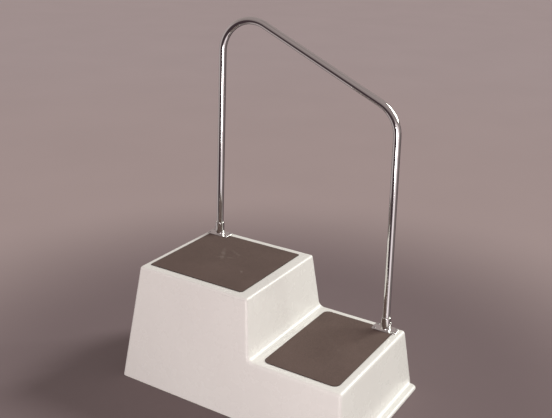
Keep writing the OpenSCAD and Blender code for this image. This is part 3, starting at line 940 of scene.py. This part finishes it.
casting = build_base()
cast_mat = polished("cast_polish", (0.78, 0.765, 0.75), 0.13)
for name, node_name, x, y, h, turn in (("upper_base_casting", "upper_rail_base", UP_X, UP_Y, UP_H, math.pi),
                                       ("lower_base_casting", "lower_rail_base", LO_X, LO_Y, LO_H, 0.0)):
    me = casting.data.copy()
    me.name = name
    me.transform(Matrix.Translation((x * MM, y * MM, h * MM)) @ Matrix.Rotation(turn, 4, "Z"))
    ob = bpy.data.objects.new(name, me)
    scene.collection.objects.link(ob)
    finish_piece(ob, cast_mat, [node_name])
bpy.data.objects.remove(casting)

steel = plain_steel("fastener_steel")
bright = plain_steel("screw_head_steel", (0.66, 0.65, 0.64))
for name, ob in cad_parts.items():
    if ob.hide_render:
        continue
    mat = bright if name.endswith("screws") or name.endswith("screw") else steel
    if len(ob.data.materials):
        for i in range(len(ob.data.materials)):
            ob.material_slots[i].link = "OBJECT"
            ob.material_slots[i].material = mat
    else:
        ob.data.materials.append(mat)


# ---------------------------------------------------------------- stage and light
def make_floor():
    me = bpy.data.meshes.new("floor")
    s = 60.0
    me.from_pydata([(-s, -s, 0), (s, -s, 0), (s, s, 0), (-s, s, 0)], [], [(0, 1, 2, 3)])
    ob = bpy.data.objects.new("floor", me)
    scene.collection.objects.link(ob)
    mat, nt, b = material("floor_paper")
    co = object_coords(nt)
    # painted shade: the floor colour is darker within about 0.8 to 1.9 m of the object, a painted falloff of
    # the light round the set, and goes over to an even far tone by 7 m
    far = nt.nodes.new("ShaderNodeVectorMath")
    far.operation = "LENGTH"
    nt.links.new(co, far.inputs[0])
    away = nt.nodes.new("ShaderNodeMapRange")
    away.interpolation_type = "SMOOTHSTEP"
    away.inputs["From Min"].default_value = 0.8
    away.inputs["From Max"].default_value = 1.9
    nt.links.new(far.outputs["Value"], away.inputs["Value"])
    distant = nt.nodes.new("ShaderNodeMapRange")
    distant.interpolation_type = "SMOOTHSTEP"
    distant.inputs["From Min"].default_value = 1.8
    distant.inputs["From Max"].default_value = 7.0
    nt.links.new(far.outputs["Value"], distant.inputs["Value"])
    col = mix_colour(nt, away.outputs[0], (0.255, 0.197, 0.200), (0.50, 0.400, 0.390))
    col = mix_colour(nt, distant.outputs[0], col, (0.50, 0.410, 0.410))
    mottle = ramp(nt, noise_tex(nt, co, 1.4, 3, 0.5), [(0.3, grey(0.97)), (0.7, grey(1.0))])
    col = mix_colour(nt, 1.0, col, mottle, "MULTIPLY")
    nt.links.new(col, b.inputs["Base Color"])
    b.inputs["Roughness"].default_value = 0.9
    b.inputs["Specular IOR Level"].default_value = 0.15
    me.materials.append(mat)
    ob.visible_glossy = False
    return ob


def heading(az, el=0.0):
    """Unit vector at an azimuth from -Y towards +X and an elevation, in degrees."""
    a, e = math.radians(az), math.radians(el)
    return Vector((math.sin(a) * math.cos(e), -math.cos(a) * math.cos(e), math.sin(e)))


def link_light(ob, floor, state):
    """The light reaches all but the floor, or the floor alone."""
    group = bpy.data.collections.new(ob.name + "_reach")
    group.objects.link(floor)
    ob.light_linking.receiver_collection = group
    group.collection_objects[0].light_linking.link_state = state


def softbox(name, az, el, dist, target, width, height, power, colour, glossy=True):
    data = bpy.data.lights.new(name, "AREA")
    data.shape = "RECTANGLE"
    data.size = width
    data.size_y = height
    data.energy = power
    data.color = colour
    ob = bpy.data.objects.new(name, data)
    scene.collection.objects.link(ob)
    to = heading(az, el)
    ob.location = Vector(target) + to * dist
    ob.rotation_mode = "QUATERNION"
    ob.rotation_quaternion = to.to_track_quat("Z", "Y")
    ob.visible_camera = False
    ob.visible_glossy = glossy
    link_light(ob, FLOOR, "EXCLUDE")
    return ob


def floor_light(az, el, strength, spread, colour):
    """Even light from far away for the floor, with the object's soft shadow on it."""
    data = bpy.data.lights.new("light_floor", "SUN")
    data.energy = strength
    data.angle = math.radians(spread)
    data.color = colour
    ob = bpy.data.objects.new("light_floor", data)
    scene.collection.objects.link(ob)
    to = heading(az, el)
    ob.location = to * 5
    ob.rotation_mode = "QUATERNION"
    ob.rotation_quaternion = to.to_track_quat("Z", "Y")
    link_light(ob, FLOOR, "INCLUDE")
    return ob


def studio_world():
    """Even light for the surfaces; what the polished metal mirrors is a studio with
    light and dark cards round the set."""
    world = scene.world or bpy.data.worlds.new("studio")
    scene.world = world
    world.use_nodes = True
    nt = world.node_tree
    nt.nodes.clear()
    out = nt.nodes.new("ShaderNodeOutputWorld")
    even = nt.nodes.new("ShaderNodeBackground")
    even.inputs[0].default_value = AMBIENT
    even.inputs[1].default_value = 1.0
    cards = nt.nodes.new("ShaderNodeBackground")
    cards.inputs[1].default_value = 1.0
    pick = nt.nodes.new("ShaderNodeMixShader")
    path = nt.nodes.new("ShaderNodeLightPath")
    nt.links.new(path.outputs["Is Glossy Ray"], pick.inputs[0])
    nt.links.new(even.outputs[0], pick.inputs[1])
    nt.links.new(cards.outputs[0], pick.inputs[2])
    beyond = nt.nodes.new("ShaderNodeBackground")
    beyond.inputs[0].default_value = BEYOND
    beyond.inputs[1].default_value = 1.0
    seen = nt.nodes.new("ShaderNodeMixShader")
    nt.links.new(path.outputs["Is Camera Ray"], seen.inputs[0])
    nt.links.new(pick.outputs[0], seen.inputs[1])
    nt.links.new(beyond.outputs[0], seen.inputs[2])
    nt.links.new(seen.outputs[0], out.inputs[0])
    ray = nt.nodes.new("ShaderNodeTexCoord").outputs["Generated"]
    sep = nt.nodes.new("ShaderNodeSeparateXYZ")
    nt.links.new(ray, sep.inputs[0])
    up = sep.outputs[2]
    flat = nt.nodes.new("ShaderNodeVectorMath")
    flat.operation = "MULTIPLY"
    flat.inputs[1].default_value = (1, 1, 0)
    nt.links.new(ray, flat.inputs[0])
    unit = nt.nodes.new("ShaderNodeVectorMath")
    unit.operation = "NORMALIZE"
    nt.links.new(flat.outputs[0], unit.inputs[0])

    def sector(az, half, soft):
        d = nt.nodes.new("ShaderNodeVectorMath")
        d.operation = "DOT_PRODUCT"
        d.inputs[1].default_value = heading(az)
        nt.links.new(unit.outputs[0], d.inputs[0])
        m = nt.nodes.new("ShaderNodeMapRange")
        m.interpolation_type = "SMOOTHSTEP"
        m.inputs["From Min"].default_value = math.cos(math.radians(min(half + soft, 179)))
        m.inputs["From Max"].default_value = math.cos(math.radians(max(half - soft, 1)))
        nt.links.new(d.outputs["Value"], m.inputs["Value"])
        return m.outputs[0]

    def band(lo, hi, soft):
        outs = []
        for a, b in ((lo - soft, lo + soft), (hi + soft, hi - soft)):
            m = nt.nodes.new("ShaderNodeMapRange")
            m.interpolation_type = "SMOOTHSTEP"
            m.inputs["From Min"].default_value = math.sin(math.radians(a))
            m.inputs["From Max"].default_value = math.sin(math.radians(b))
            nt.links.new(up, m.inputs["Value"])
            outs.append(m.outputs[0])
        return maths(nt, "MULTIPLY", *outs)

    col = CARD_BASE
    for (az, half, soft, lo, hi, esoft, tone) in CARDS:
        fac = maths(nt, "MULTIPLY", sector(az, half, soft), band(lo, hi, esoft))
        col = mix_colour(nt, fac, col, tone)
    nt.links.new(col, cards.inputs[0])


AMBIENT = (0.43, 0.400, 0.385, 1)
BEYOND = (0.335, 0.267, 0.262, 1)
CARD_BASE = (0.30, 0.25, 0.245)
# azimuth, half width, softness, lowest and highest elevation, softness, tone
CARDS = [
    (0, 178, 1, 40, 89, 12, (0.36, 0.305, 0.30)),           # ceiling
    (121, 75, 20, -10, 45, 10, (0.40, 0.335, 0.325)),       # wall behind the set
    (0, 178, 1, -89, -4, 4, (0.20, 0.165, 0.163)),          # floor
    (-100, 30, 8, -60, 10, 9, (0.055, 0.036, 0.042)),       # dark side of the room
    (-36, 23, 8, -60, 12, 6, (1.00, 0.89, 0.92)),           # light paper in front
    (86, 30, 10, -60, 10, 6, (0.09, 0.065, 0.07)),          # dark flag on the right
    (-166, 24, 8, -60, 20, 8, (0.52, 0.45, 0.45)),          # paper behind on the left
]

FLOOR = make_floor()
studio_world()
floor_light(50, 40, 1.35, 14, (1.0, 0.99, 0.985))
softbox("light_key", 52, 33, 6.5, (0, 0, 0.3), 3.6, 3.2, 355, (0.945, 1.0, 0.92))
softbox("light_left", -104, 32, 3.4, (0, 0, 0.3), 1.6, 1.6, 22, (1.0, 0.925, 0.925), glossy=False)
softbox("light_low", -58, 2, 2.7, (0, 0, 0.25), 1.1, 0.9, 34, (1.0, 0.955, 0.94))

scene.view_settings.view_transform = "Standard"
scene.view_settings.look = "None"
scene.view_settings.exposure = 0.0
scene.view_settings.gamma = 1.0
